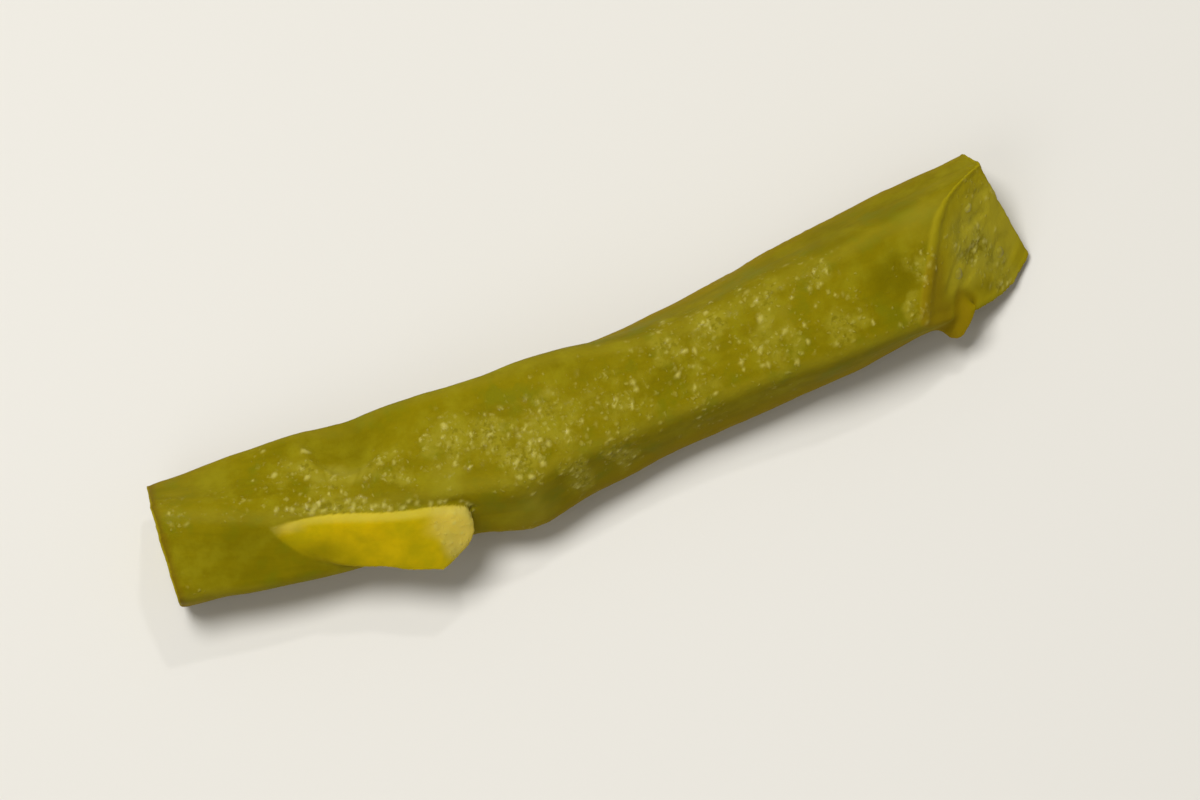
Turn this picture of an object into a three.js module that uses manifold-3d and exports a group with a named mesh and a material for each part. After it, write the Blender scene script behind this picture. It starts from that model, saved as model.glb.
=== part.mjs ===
// A cut, cooked length of an okra pod, lying on its side. Sizes are in millimetres.
// +X runs along the pod from its square cut to its slant cut, +Y to its far side and +Z up.
// The model is worked out from the square cut, and its origin is then the middle of its underside.
import * as THREE from "three";
import { LoftGeometry } from "three/addons/geometries/LoftGeometry.js";
import { mergeVertices } from "three/addons/utils/BufferGeometryUtils.js";
import Module from "manifold-3d";

const wasm = await Module();
wasm.setup();
const { degToRad, lerp, mapLinear } = THREE.MathUtils;

// Driving dimensions

// The pod's two edges seen from above, as [x, y], and the height of its top, as [x, z].
const farEdge = [
  [-3, 5.8], [6, 5.7], [13, 5.4], [22, 4.7], [31, 4.1], [41, 4.5], [50, 5.5], [58, 6.6],
  [64, 7.5], [70, 8.1], [76, 8.7], [84, 9.0],
];
const nearEdge = [
  [-3, -5.3], [2, -5.9], [10, -7.4], [17, -8.0], [26, -8.6], [31, -9.7], [36, -8.8], [42, -7.9],
  [48, -7.2], [54, -6.8], [60, -6.5], [66, -5.7], [74, -5.1], [84, -3.6],
];
const crest = [[-3, 10.8], [13, 11.6], [31, 11.8], [48, 10.8], [62, 11.8], [74, 11.5], [84, 11.3]];

// The underside has sagged flat: this much of the round section is pressed off.
const sag = 0.5;

// The five ridges turn slowly along the pod. Each is a list of [x, degrees], measured from
// straight up towards the far side.
const ridgeTurns = [
  [[-3, 112], [9, 84], [17, 72], [30, 54], [38, 38], [44.6, 23], [50, 18], [57.7, 21], [70, 22], [84, 30]],
  [
    [-3, 38], [1.3, 20], [4.6, 7], [9.2, -8], [14.6, -18], [19.4, -27], [24, -33], [31, -34], [40, -38],
    [49.5, -42], [56, -46], [62, -52], [70, -62], [84, -66],
  ],
  [[-3, -60], [9, -74], [17, -84], [30, -98], [46, -109], [56, -115], [63, -122], [84, -134]],
  [[-3, -123], [17, -140], [46, -160], [63, -184], [84, -198]],
  [[-3, -188], [17, -205], [46, -234], [63, -252], [84, -262]],
];
const pointsPerFace = 7;
const stepAlong = 1.25;
const flatness = 0.8; // 1 makes the faces between the ridges flat, and 0 makes the pod round
const ridgeSoftness = 0.12;

// A shallow dent in the top, as a thumb would leave.
const dent = { x: 18, y: 3.2, halfLength: 4.4, halfBreadth: 4.6, depth: 1.4 };

// The square cut and the two planes of the slant cut: a point on each, and the way it faces.
const squareCut = { at: [0, 0, 6], facing: [-1, 0.07, 0] };
const endCut = { at: [79.7, 0, 6], facing: [1, 0.3, 0] };
const slantCut = { at: [70.2, -0.5, 11], facing: [1, -0.81, 1.02] };
const rimBite = { x: 79.9, y: 3.2, radius: 1.5 };

// The five seed chambers. Their sizes are fractions of the way from the pod's axis to its ridges.
const chamber = { middle: 0.46, reach: 0.24, septum: 0.13, depth: 1.3, points: 14 };
const seedDiameter = 2.6;
const seedsOut = 0.5; // how far out the seeds sit, as such a fraction

// The strip of skin peeled from the near side. Its two edges run from its root to its free end, as
// [x, y, height]. The height is above the pod's skin on the attached edge.
const attachedEdge = [
  [9.2, -2.1, -0.7], [14.6, -3.6, -0.05], [19.4, -5.2, 0.35], [23.3, -6.1, 0.55], [25.4, -6.8, 0.8],
  [25.9, -7.6, 1.6],
];
const freeEdge = [
  [10.1, -4.0, 9.7], [11.3, -5.3, 8.9], [13.5, -7.0, 8.0], [15.4, -7.9, 7.6], [17.3, -8.6, 7.4],
  [19.7, -9.9, 7.5], [22.2, -10.7, 7.7], [24.6, -9.8, 8.2], [25.8, -8.4, 8.9],
];
const stripThickness = 1.1;

// The small torn tongue at the slant cut: its line, as [x, y, z], and its half breadth on it.
const tongueLine = [[72.6, -3.9, 5.3], [71.7, -4.7, 5.0], [70.6, -5.8, 4.4], [69.9, -6.4, 3.9]];
const tongueHalfBreadth = [[0, 1.6], [1, 1.5], [2, 1.0], [3, 0.3]];
const tongueThickness = 1.1;

const skinColour = 0x7c6e12;
const skinRoughness = 0.32;

// The pod's section

// A smooth curve through points [x, value], read at any x.
function curveThrough(points) {
  const curve = new THREE.CubicInterpolant(
    points.map((p) => p[0]),
    points.map((p) => p[1]),
    1,
  );
  return (x) => curve.evaluate(x)[0];
}

const farAt = curveThrough(farEdge);
const nearAt = curveThrough(nearEdge);
const crestAt = curveThrough(crest);
const ridgesAt = ridgeTurns.map(curveThrough);

// The angle in radians of a ridge at x. Past the last ridge it starts again, one turn on.
function ridgeAngle(index, x) {
  const turns = Math.floor(index / ridgesAt.length);
  return degToRad(ridgesAt[index % ridgesAt.length](x) - 360 * turns);
}

// A point of a round section of radius 1, out from its middle at an angle from straight up.
function polar(angle, out, aside = 0) {
  const y = out * Math.sin(angle) - aside * Math.cos(angle);
  const z = out * Math.cos(angle) + aside * Math.sin(angle);
  return new THREE.Vector2(y, z);
}

// The ridged outline at x, with ridges that reach radius 1 and faces that dip between them.
function ridgedOutline(x) {
  const points = [];
  for (let face = 0; face < ridgesAt.length; face++) {
    const from = ridgeAngle(face, x);
    const to = ridgeAngle(face + 1, x);
    const fullDip = 1 - Math.cos((from - to) / 2);
    for (let i = 0; i < pointsPerFace; i++) {
      const wave = Math.sin((Math.PI * i) / pointsPerFace);
      const dip = Math.hypot(wave, ridgeSoftness) - ridgeSoftness;
      points.push(polar(lerp(from, to, i / pointsPerFace), 1 - flatness * fullDip * dip));
    }
  }
  return points;
}

// A function that places a point of the unit section at x, stretched to the pod's edges and crest.
function placerAt(x) {
  const { min, max } = new THREE.Box2().setFromPoints(ridgedOutline(x));
  return (point) => {
    const y = mapLinear(point.x, min.x, max.x, nearAt(x), farAt(x));
    const z = mapLinear(point.y, min.y, max.y, -sag, crestAt(x));
    return new THREE.Vector3(x, y, z);
  };
}

function pressDent(point) {
  const across = Math.hypot((point.x - dent.x) / dent.halfLength, (point.y - dent.y) / dent.halfBreadth);
  if (across < 1 && point.z > crestAt(point.x) / 2) point.z -= dent.depth * (1 - across ** 2) ** 2;
  return point;
}

function podSection(x) {
  return ridgedOutline(x).map(placerAt(x)).map(pressDent);
}

// Height of the pod's upper skin over (x, y).
function skinHeight(x, y) {
  const section = podSection(x);
  let height = 0;
  section.forEach((a, i) => {
    const b = section[(i + 1) % section.length];
    const between = (a.y - y) * (b.y - y) <= 0 && a.y !== b.y;
    if (between) height = Math.max(height, mapLinear(y, a.y, b.y, a.z, b.z));
  });
  return height;
}

// Solids

function solidOf(geometry) {
  const plain = new THREE.BufferGeometry().copy(geometry);
  plain.deleteAttribute("normal");
  plain.deleteAttribute("uv");
  const merged = mergeVertices(plain, 1e-4);
  const vertProperties = merged.attributes.position.array;
  const triVerts = new Uint32Array(merged.index.array);
  return new wasm.Manifold(new wasm.Mesh({ numProp: 3, vertProperties, triVerts }));
}

function loft(sections) {
  return solidOf(new LoftGeometry(sections, { capStart: true, capEnd: true }));
}

function evenly(from, to, count, make) {
  return Array.from({ length: count + 1 }, (_, i) => make(lerp(from, to, i / count)));
}

function planeOf(cut) {
  const normal = new THREE.Vector3(...cut.facing).normalize();
  return new THREE.Plane().setFromNormalAndCoplanarPoint(normal, new THREE.Vector3(...cut.at));
}

// Everything past a plane, as a block large enough for the pod, starting depth inside the plane.
function pastPlane(plane, depth = 0) {
  const side = 300;
  const block = new THREE.BoxGeometry(side, side, side).translate(0, 0, side / 2 - depth);
  block.applyQuaternion(new THREE.Quaternion().setFromUnitVectors(new THREE.Vector3(0, 0, 1), plane.normal));
  block.translate(...plane.coplanarPoint(new THREE.Vector3()));
  return solidOf(block);
}

// The whole ridged body, longer than the pod at both ends.
function podBody() {
  const from = -2;
  const to = 83;
  return loft(evenly(from, to, Math.round((to - from) / stepAlong), podSection));
}

// One seed chamber round a ridge, from one x to another: a teardrop that narrows to the axis.
function chamberBody(ridge, from, to) {
  const halfGap = Math.sin(Math.PI / ridgesAt.length);
  const section = (x) => {
    const place = placerAt(x);
    const angle = ridgeAngle(ridge, x);
    return Array.from({ length: chamber.points }, (_, i) => {
      const turn = (2 * Math.PI * i) / chamber.points;
      const out = chamber.middle + chamber.reach * Math.cos(turn);
      return place(polar(angle, out, (out * halfGap - chamber.septum / 2) * Math.sin(turn)));
    });
  };
  return loft(evenly(from, to, 8, section));
}

// How far a point lies outside a cut end, which may have several planes. Inside is negative.
function outside(planes, point) {
  return Math.max(...planes.map((plane) => plane.distanceToPoint(point)));
}

// The seed of one chamber, half sunk in its floor where the chamber's line meets the cut face.
function seedAtCut(ridge, planes, inner, outer) {
  const lineAt = (x) => placerAt(x)(polar(ridgeAngle(ridge, x), seedsOut));
  let [within, past] = [inner, outer];
  for (let i = 0; i < 30; i++) {
    const x = (within + past) / 2;
    if (outside(planes, lineAt(x)) < 0) within = x;
    else past = x;
  }
  const middle = lineAt(within);
  const nearest = planes.find((plane) => plane.distanceToPoint(middle) === outside(planes, middle));
  middle.addScaledVector(nearest.normal, -chamber.depth);
  return solidOf(new THREE.SphereGeometry(seedDiameter / 2, 10, 7).translate(...middle));
}

// Cuts one end off the body and opens its chambers, each with a seed.
function cutEnd(body, planes, inner, outer) {
  let cut = body;
  for (const plane of planes) cut = cut.subtract(pastPlane(plane));
  const reach = planes.map((plane) => pastPlane(plane, chamber.depth)).reduce((a, b) => a.add(b));
  for (let ridge = 0; ridge < ridgesAt.length; ridge++) {
    const [from, to] = [Math.min(inner, outer), Math.max(inner, outer)];
    cut = cut.subtract(chamberBody(ridge, from, to).intersect(reach));
    cut = cut.add(seedAtCut(ridge, planes, inner, outer));
  }
  return cut;
}

// A flat, round-edged section across a strip, from one edge point to the other.
function stripSection(a, b, ahead, thickness) {
  const middle = a.clone().lerp(b, 0.5);
  const half = a.clone().sub(b).multiplyScalar(0.5);
  const up = ahead.clone().cross(half).normalize().multiplyScalar(thickness / 2);
  const corner = (value) => Math.sign(value) * Math.abs(value) ** 0.6;
  return Array.from({ length: 12 }, (_, i) => {
    const turn = (2 * Math.PI * i) / 12;
    return middle
      .clone()
      .addScaledVector(half, corner(Math.cos(turn)))
      .addScaledVector(up, corner(Math.sin(turn)));
  });
}

function peeledStrip() {
  const onSkin = attachedEdge.map(([x, y, h]) => new THREE.Vector3(x, y, skinHeight(x, y) + h));
  const attached = new THREE.CatmullRomCurve3(onSkin);
  const free = new THREE.CatmullRomCurve3(freeEdge.map((p) => new THREE.Vector3(...p)));
  const section = (t) => {
    const ahead = attached.getTangentAt(t).add(free.getTangentAt(t));
    return stripSection(attached.getPointAt(t), free.getPointAt(t), ahead, stripThickness);
  };
  return loft(evenly(0, 1, 16, section));
}

function tornTongue() {
  const line = new THREE.CatmullRomCurve3(tongueLine.map((p) => new THREE.Vector3(...p)));
  const halfBreadthAt = curveThrough(tongueHalfBreadth);
  const section = (t) => {
    const middle = line.getPoint(t);
    const ahead = line.getTangent(t);
    const aside = new THREE.Vector3(0, 0, 1).cross(ahead).normalize();
    aside.multiplyScalar(halfBreadthAt(t * (tongueLine.length - 1)));
    const thickness = tongueThickness * lerp(1, 0.5, t);
    return stripSection(middle.clone().add(aside), middle.clone().sub(aside), ahead, thickness);
  };
  return loft(evenly(0, 1, 8, section));
}

// A small bite out of the rim of the end cut, through the wall's upper half.
function biteOfRim() {
  const bite = new THREE.CylinderGeometry(rimBite.radius, rimBite.radius, 12, 16);
  return solidOf(bite.rotateX(Math.PI / 2).translate(rimBite.x, rimBite.y, crestAt(rimBite.x)));
}

function pod() {
  let solid = cutEnd(podBody(), [planeOf(squareCut)], 6, -1.5);
  solid = cutEnd(solid, [planeOf(endCut), planeOf(slantCut)], 60, 82.5);
  solid = solid.add(peeledStrip()).add(tornTongue()).subtract(biteOfRim());
  const floor = new THREE.Plane(new THREE.Vector3(0, 0, -1), 0);
  return solid.subtract(pastPlane(floor));
}

function geometryOf(solid) {
  const { vertProperties, triVerts } = solid.getMesh();
  const geometry = new THREE.BufferGeometry();
  geometry.setAttribute("position", new THREE.BufferAttribute(vertProperties, 3));
  geometry.setIndex(new THREE.BufferAttribute(triVerts, 1));
  return geometry;
}

const podGeometry = geometryOf(pod());
podGeometry.computeBoundingBox();
const { min, max } = podGeometry.boundingBox;
podGeometry.translate(-(min.x + max.x) / 2, -(min.y + max.y) / 2, -min.z);

const skin = new THREE.MeshStandardMaterial({ color: skinColour, roughness: skinRoughness, metalness: 0 });
const podMesh = new THREE.Mesh(podGeometry, skin);
podMesh.name = "pod";

const group = new THREE.Group();
group.add(podMesh);

export default group;
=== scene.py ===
# A cooked okra pod, cut to a length and lying on its side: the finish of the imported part.
import math
import random

import bpy
import numpy as np
from mathutils import Matrix, Vector, noise
from mathutils.bvhtree import BVHTree
from mathutils.kdtree import KDTree


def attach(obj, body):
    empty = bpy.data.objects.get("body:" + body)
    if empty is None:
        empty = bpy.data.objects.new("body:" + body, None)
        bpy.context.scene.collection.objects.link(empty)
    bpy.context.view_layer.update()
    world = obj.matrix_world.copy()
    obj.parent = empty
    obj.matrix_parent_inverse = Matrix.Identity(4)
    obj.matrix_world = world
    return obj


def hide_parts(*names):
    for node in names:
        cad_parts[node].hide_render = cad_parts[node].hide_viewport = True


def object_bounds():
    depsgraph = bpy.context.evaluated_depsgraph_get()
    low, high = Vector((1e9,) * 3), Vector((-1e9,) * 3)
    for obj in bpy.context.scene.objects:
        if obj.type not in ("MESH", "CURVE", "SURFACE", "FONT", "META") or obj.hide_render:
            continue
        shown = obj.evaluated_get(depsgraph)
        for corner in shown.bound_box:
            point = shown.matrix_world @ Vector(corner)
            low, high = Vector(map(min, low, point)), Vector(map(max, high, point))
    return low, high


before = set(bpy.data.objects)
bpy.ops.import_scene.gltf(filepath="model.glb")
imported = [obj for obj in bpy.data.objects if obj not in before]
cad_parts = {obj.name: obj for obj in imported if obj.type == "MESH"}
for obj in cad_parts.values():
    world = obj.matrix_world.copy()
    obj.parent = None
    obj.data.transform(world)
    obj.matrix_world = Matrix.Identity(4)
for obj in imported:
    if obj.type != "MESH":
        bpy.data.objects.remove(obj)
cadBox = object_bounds()
print("frame loaded")

mm = 0.001
random.seed(9)

# The pod's shape in millimetres, measured from its square cut as the part is drawn: x along the pod,
# y to its far side, z up. Ridge turns are degrees from straight up towards the far side.
podShape = {
    "farEdge": [(-3, 5.8), (6, 5.7), (13, 5.4), (22, 4.7), (31, 4.1), (41, 4.5), (50, 5.5), (58, 6.6),
                (64, 7.5), (70, 8.1), (76, 8.7), (84, 9.0)],
    "nearEdge": [(-3, -5.3), (2, -5.9), (10, -7.4), (17, -8.0), (26, -8.6), (31, -9.7), (36, -8.8),
                 (42, -7.9), (48, -7.2), (54, -6.8), (60, -6.5), (66, -5.7), (74, -5.1), (84, -3.6)],
    "crest": [(-3, 10.8), (13, 11.6), (31, 11.8), (48, 10.8), (62, 11.8), (74, 11.5), (84, 11.3)],
    "ridgeTurns": [
        [(-3, 112), (9, 84), (17, 72), (30, 54), (38, 38), (44.6, 23), (50, 18), (57.7, 21), (70, 22),
         (84, 30)],
        [(-3, 38), (1.3, 20), (4.6, 7), (9.2, -8), (14.6, -18), (19.4, -27), (24, -33), (31, -34), (40, -38),
         (49.5, -42), (56, -46), (62, -52), (70, -62), (84, -66)],
        [(-3, -60), (9, -74), (17, -84), (30, -98), (46, -109), (56, -115), (63, -122), (84, -134)],
        [(-3, -123), (17, -140), (46, -160), (63, -184), (84, -198)],
        [(-3, -188), (17, -205), (46, -234), (63, -252), (84, -262)],
    ],
    "sag": 0.5,  # how much of the round section the flat underside takes off
    "flatness": 0.8,  # of the faces between the ridges: 0 is round and 1 is flat
    "ridgeSoftness": 0.1,
    "ends": (-2, 83),
    "ringGap": 1.0,
    "pointsPerFace": 12,
    "outlineSteps": 24,  # steps across each face where the section is measured
    "middle": (39.851, -0.972, 0),  # the part's origin, in these millimetres
    # the dent, and the lip round it as shares of the way from its middle to its edge
    "dent": {"x": 18, "y": 3.2, "halfLength": 4.4, "halfBreadth": 4.6, "depth": 1.4,
             "lipAt": 0.92, "lipWidth": 0.15, "lipWander": 0.06, "lipLean": 0.8},
    "voxel": 0.212,  # the size of the finished skin's faces
    "clearance": 0.01,  # how far the finished skin keeps inside the part's box
    "pressedFlat": 0.03,  # skin lower than this lies flat on what is below
}
# The cuts and the flat underside: a point on each plane and the way it faces.
squareCut = {"at": (0, 0, 6), "facing": (-1, 0.07, 0)}
endCut = {"at": (79.7, 0, 6), "facing": (1, 0.3, 0)}
slantCut = {"at": (70.2, -0.5, 11), "facing": (1, -0.81, 1.02)}
underside = {"at": (0, 0, 0), "facing": (0, 0, -1)}


def inFrame(points):
    # millimetres from the square cut to metres in the part's own frame
    return (np.asarray(points, float) - podShape["middle"]) * mm


def fromFrame(points):
    return np.asarray(points, float) / mm + podShape["middle"]


def curveThrough(points):
    at, value = np.array(points, float).T
    slope = np.empty_like(value)
    slope[1:-1] = (value[2:] - value[:-2]) / (at[2:] - at[:-2])
    slope[0] = (value[1] - value[0]) / (at[1] - at[0])
    slope[-1] = (value[-1] - value[-2]) / (at[-1] - at[-2])

    def read(x):
        x = np.clip(x, at[0], at[-1])
        i = np.clip(np.searchsorted(at, x) - 1, 0, len(at) - 2)
        gap = at[i + 1] - at[i]
        t = (x - at[i]) / gap
        start = (1 + 2 * t) * (1 - t) ** 2 * value[i] + t * (1 - t) ** 2 * gap * slope[i]
        return start + t * t * (3 - 2 * t) * value[i + 1] + t * t * (t - 1) * gap * slope[i + 1]

    return read


farAt = curveThrough(podShape["farEdge"])
nearAt = curveThrough(podShape["nearEdge"])
crestAt = curveThrough(podShape["crest"])
ridgesAt = [curveThrough(turns) for turns in podShape["ridgeTurns"]]


def smooth(value, low, high):
    t = np.clip((value - low) / (high - low), 0, 1)
    return t * t * (3 - 2 * t)


def ridgeTurn(index, x):
    return ridgesAt[index % 5](x) - 360 * (index // 5)


def skinRadius(face, across, x):
    # the reach of the unit section between two ridges: 1 on a ridge, less on the face between
    gap = np.radians(np.abs(ridgeTurn(face, x) - ridgeTurn(face + 1, x)))
    soft = podShape["ridgeSoftness"]
    dip = np.hypot(np.sin(np.pi * across), soft) - soft
    return 1 - podShape["flatness"] * (1 - np.cos(gap / 2)) * dip


def unitOutline(x):
    points = []
    for face in range(5):
        for step in range(podShape["outlineSteps"]):
            across = step / podShape["outlineSteps"]
            turn = math.radians(ridgeTurn(face, x) * (1 - across) + ridgeTurn(face + 1, x) * across)
            reach = skinRadius(face, across, x)
            points.append((reach * math.sin(turn), reach * math.cos(turn)))
    return np.array(points)


stations = np.arange(podShape["ends"][0] - 1, podShape["ends"][1] + 2, 0.5)
outlines = [unitOutline(x) for x in stations]
unitLow = np.array([outline.min(0) for outline in outlines])
unitHigh = np.array([outline.max(0) for outline in outlines])


def sectionFit(x):
    # how the unit section is stretched at x: its scale and its middle, across and up
    low = [np.interp(x, stations, unitLow[:, k]) for k in (0, 1)]
    high = [np.interp(x, stations, unitHigh[:, k]) for k in (0, 1)]
    near, far, floor, crest = nearAt(x), farAt(x), -podShape["sag"], crestAt(x)
    scaleY = (far - near) / (high[0] - low[0])
    scaleZ = (crest - floor) / (high[1] - low[1])
    return scaleY, near - low[0] * scaleY, scaleZ, floor - low[1] * scaleZ


def skinPoint(x, face, across, out=1.0):
    turn = np.radians(ridgeTurn(face, x) * (1 - across) + ridgeTurn(face + 1, x) * across)
    reach = skinRadius(face, across, x) * out
    scaleY, middleY, scaleZ, middleZ = sectionFit(x)
    return np.array([x, reach * np.sin(turn) * scaleY + middleY, reach * np.cos(turn) * scaleZ + middleZ])


def dentDepth(x, y):
    dent = podShape["dent"]
    away = np.hypot((x - dent["x"]) / dent["halfLength"], (y - dent["y"]) / dent["halfBreadth"])
    return np.where(away < 1, dent["depth"] * (1 - away**2) ** 2, 0)


def skinHeight(x, y):
    # height of the upper skin over a point
    steps = podShape["outlineSteps"]
    ring = np.array([skinPoint(x, face, step / steps) for face in range(5) for step in range(steps)])
    upper = ring[ring[:, 2] > crestAt(x) / 2]
    upper = upper[np.argsort(upper[:, 1])]
    return float(np.interp(y, upper[:, 1], upper[:, 2]) - dentDepth(x, y))


def curvePoints(points, count):
    # evenly spaced points on a smooth curve through a few
    points = np.array(points, float)
    along = np.r_[0, np.cumsum(np.linalg.norm(np.diff(points, axis=0), axis=1))]
    read = [curveThrough(np.c_[along, points[:, k]]) for k in range(points.shape[1])]
    return np.array([[f(s) for f in read] for s in np.linspace(0, along[-1], count)])


# Modelling


def pickOnly(thing):
    if bpy.context.mode != "OBJECT":
        bpy.ops.object.mode_set(mode="OBJECT")
    bpy.ops.object.select_all(action="DESELECT")
    thing.select_set(True)
    bpy.context.view_layer.objects.active = thing


def applyModifier(thing, kind, **settings):
    pickOnly(thing)
    modifier = thing.modifiers.new(kind.title(), kind)
    for name, value in settings.items():
        setattr(modifier, name, value)
    bpy.ops.object.modifier_apply(modifier=modifier.name)


def tubeOfRings(name, sides, rings, place):
    # a cylinder cut into rings, each point of which is then moved to place(ring, side)
    bpy.ops.object.select_all(action="DESELECT")
    bpy.ops.mesh.primitive_cylinder_add(vertices=sides, radius=1, depth=rings - 1,
                                        rotation=(0, math.pi / 2, 0))
    tube = bpy.context.active_object
    tube.name = tube.data.name = name
    bpy.ops.object.transform_apply(location=False, rotation=True, scale=False)
    bpy.ops.object.mode_set(mode="EDIT")
    bpy.ops.mesh.select_mode(type="EDGE")
    bpy.ops.mesh.select_all(action="DESELECT")
    bpy.ops.object.mode_set(mode="OBJECT")
    corners = tube.data.vertices
    for edge in tube.data.edges:
        edge.select = abs(corners[edge.vertices[0]].co.x - corners[edge.vertices[1]].co.x) > 0.5
    bpy.ops.object.mode_set(mode="EDIT")
    bpy.ops.mesh.subdivide(number_cuts=rings - 2)
    bpy.ops.object.mode_set(mode="OBJECT")
    for corner in tube.data.vertices:
        ring = round(corner.co.x + (rings - 1) / 2)
        side = round(math.atan2(corner.co.y, corner.co.z) / (2 * math.pi) * sides) % sides
        corner.co = inFrame(place(ring, side))
    bpy.ops.object.mode_set(mode="EDIT")
    bpy.ops.mesh.select_all(action="SELECT")
    bpy.ops.mesh.normals_make_consistent(inside=False)
    bpy.ops.object.mode_set(mode="OBJECT")
    return tube


def cutPast(thing, cut):
    # keeps what lies behind a cut's plane, and closes the face
    pickOnly(thing)
    bpy.ops.object.mode_set(mode="EDIT")
    bpy.ops.mesh.select_all(action="SELECT")
    bpy.ops.mesh.bisect(plane_co=inFrame(cut["at"]), plane_no=Vector(cut["facing"]).normalized(),
                        use_fill=True, clear_outer=True, threshold=1e-7)
    bpy.ops.object.mode_set(mode="OBJECT")


def podBody():
    low, high = podShape["ends"]
    rings = round((high - low) / podShape["ringGap"]) + 1
    perFace = podShape["pointsPerFace"]

    def place(ring, side):
        face, step = divmod((5 * perFace - side) % (5 * perFace), perFace)
        x, y, z = skinPoint(low + ring * podShape["ringGap"], face, step / perFace)
        if z > crestAt(x) / 2:
            z -= dentDepth(x, y)
        return x, y, z

    body = tubeOfRings("okraPod", 5 * perFace, rings, place)
    applyModifier(body, "SUBSURF", levels=1, render_levels=1)
    for cut in (squareCut, endCut, slantCut, underside):
        cutPast(body, cut)
    return body


def ribbonPlace(one, other, thickness, sides, blunt):
    # a flat, round-edged section across a ribbon, from one edge line to the other
    middle, half = (one + other) / 2, (one - other) / 2
    ahead = np.gradient(one, axis=0) + np.gradient(other, axis=0)
    up = np.cross(ahead, half)
    up /= np.linalg.norm(up, axis=1)[:, None]

    def place(ring, side):
        turn = 2 * math.pi * side / sides
        across, lift = (math.copysign(abs(f(turn)) ** blunt, f(turn)) for f in (math.cos, math.sin))
        return middle[ring] + half[ring] * across + up[ring] * lift * thickness[ring] / 2

    return place


# The strip of skin peeled from the near side. Heights on the attached edge are above the skin.
peeledStrip = {
    "attachedEdge": [(9.2, -2.1, -0.7), (14.6, -3.6, -0.05), (19.4, -5.2, 0.35), (23.3, -6.1, 0.55),
                     (25.4, -6.8, 0.8), (25.9, -7.6, 1.6)],
    "freeEdge": [(10.1, -4.0, 9.7), (11.3, -5.3, 8.9), (13.5, -7.0, 8.0), (15.4, -7.9, 7.6),
                 (17.3, -8.6, 7.4), (19.7, -9.9, 7.5), (21.4, -10.5, 7.6), (22.1, -10.7, 7.7),
                 (22.9, -10.35, 7.8), (24.6, -9.5, 8.2), (25.7, -8.4, 8.9)],
    "thickness": 0.85, "edgeBlunt": 0.5, "rings": 40, "sides": 28,
}


def stripOfSkin():
    onSkin = [(x, y, skinHeight(x, y) + lift) for x, y, lift in peeledStrip["attachedEdge"]]
    rings, sides = peeledStrip["rings"], peeledStrip["sides"]
    attached, free = curvePoints(onSkin, rings), curvePoints(peeledStrip["freeEdge"], rings)
    thickness = np.full(rings, peeledStrip["thickness"])
    place = ribbonPlace(attached, free, thickness, sides, peeledStrip["edgeBlunt"])
    return tubeOfRings("peeledStrip", sides, rings, place), attached


# The torn tongue that hangs over the near rim of the slant cut: its middle line, and half its breadth by
# the share of the way to its tip.
tornTongue = {
    "line": [(72.6, -3.6, 5.8), (71.8, -4.5, 5.7), (70.9, -5.5, 4.9), (70.2, -6.1, 3.7)],
    "halfBreadth": [(0, 1.6), (0.4, 1.6), (0.75, 1.45), (0.92, 1.1), (1, 0.6)],
    "thickness": 1.0, "tipThickness": 0.5, "edgeBlunt": 0.6, "rings": 16, "sides": 20,
}


def tongueOfSkin():
    rings, sides = tornTongue["rings"], tornTongue["sides"]
    line = curvePoints(tornTongue["line"], rings)
    halfBreadth = curveThrough(tornTongue["halfBreadth"])(np.linspace(0, 1, rings))
    aside = np.cross((0, 0, 1), np.gradient(line, axis=0))
    aside *= (halfBreadth / np.linalg.norm(aside, axis=1))[:, None]
    thickness = np.linspace(tornTongue["thickness"], tornTongue["tipThickness"], rings)
    place = ribbonPlace(line + aside, line - aside, thickness, sides, tornTongue["edgeBlunt"])
    return tubeOfRings("tornTongue", sides, rings, place)


# The bite out of the rim at the slant cut's far corner, made by an upright cylinder.
rimBite = {"at": (79.9, 3.2, 11.4), "radius": 1.5, "length": 12, "sides": 32}


def takeBite(body):
    bpy.ops.object.select_all(action="DESELECT")
    bpy.ops.mesh.primitive_cylinder_add(vertices=rimBite["sides"], radius=rimBite["radius"] * mm,
                                        depth=rimBite["length"] * mm, location=inFrame(rimBite["at"]))
    bite = bpy.context.active_object
    applyModifier(body, "BOOLEAN", operation="DIFFERENCE", object=bite)
    bpy.data.objects.remove(bite)


body = podBody()
takeBite(body)
strip, attachedLine = stripOfSkin()
tongue = tongueOfSkin()
print("base shapes made")


def readArray(mesh, name):
    values = np.empty(len(mesh.vertices) * 3)
    mesh.vertices.foreach_get(name, values)
    return values.reshape(-1, 3)


# Where each noise is read, so that no two run alike.
noiseSeeds = {
    "wander": 7.7, "hiddenSkin": 4.2, "chamberEdge": 2.9, "patchAlong": 5.1, "patchAcross": 9.4,
    "beadAlong": 1.7, "beadAcross": 4.1, "lump": 1.3, "smallLump": 8.1, "fibre": 2.1, "rough": 3.9,
    "stripLump": 5.5, "pulp": 3.3, "finePulp": 6.3,
}


def noiseAt(points, size, name):
    # smooth noise from -1 to 1, with waves of about the given size
    return np.array([noise.noise(p) for p in (points / size + noiseSeeds[name]).tolist()])


def cellsAt(points, size):
    # distance to the nearest cell's middle, in cells, and that cell's own random value
    found = [noise.voronoi(p) for p in (points / size).tolist()]
    away = np.array([distances[0] for distances, middles in found])
    own = np.array([noise.cell(middles[0] * 7.13) for distances, middles in found])
    return away, own


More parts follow.
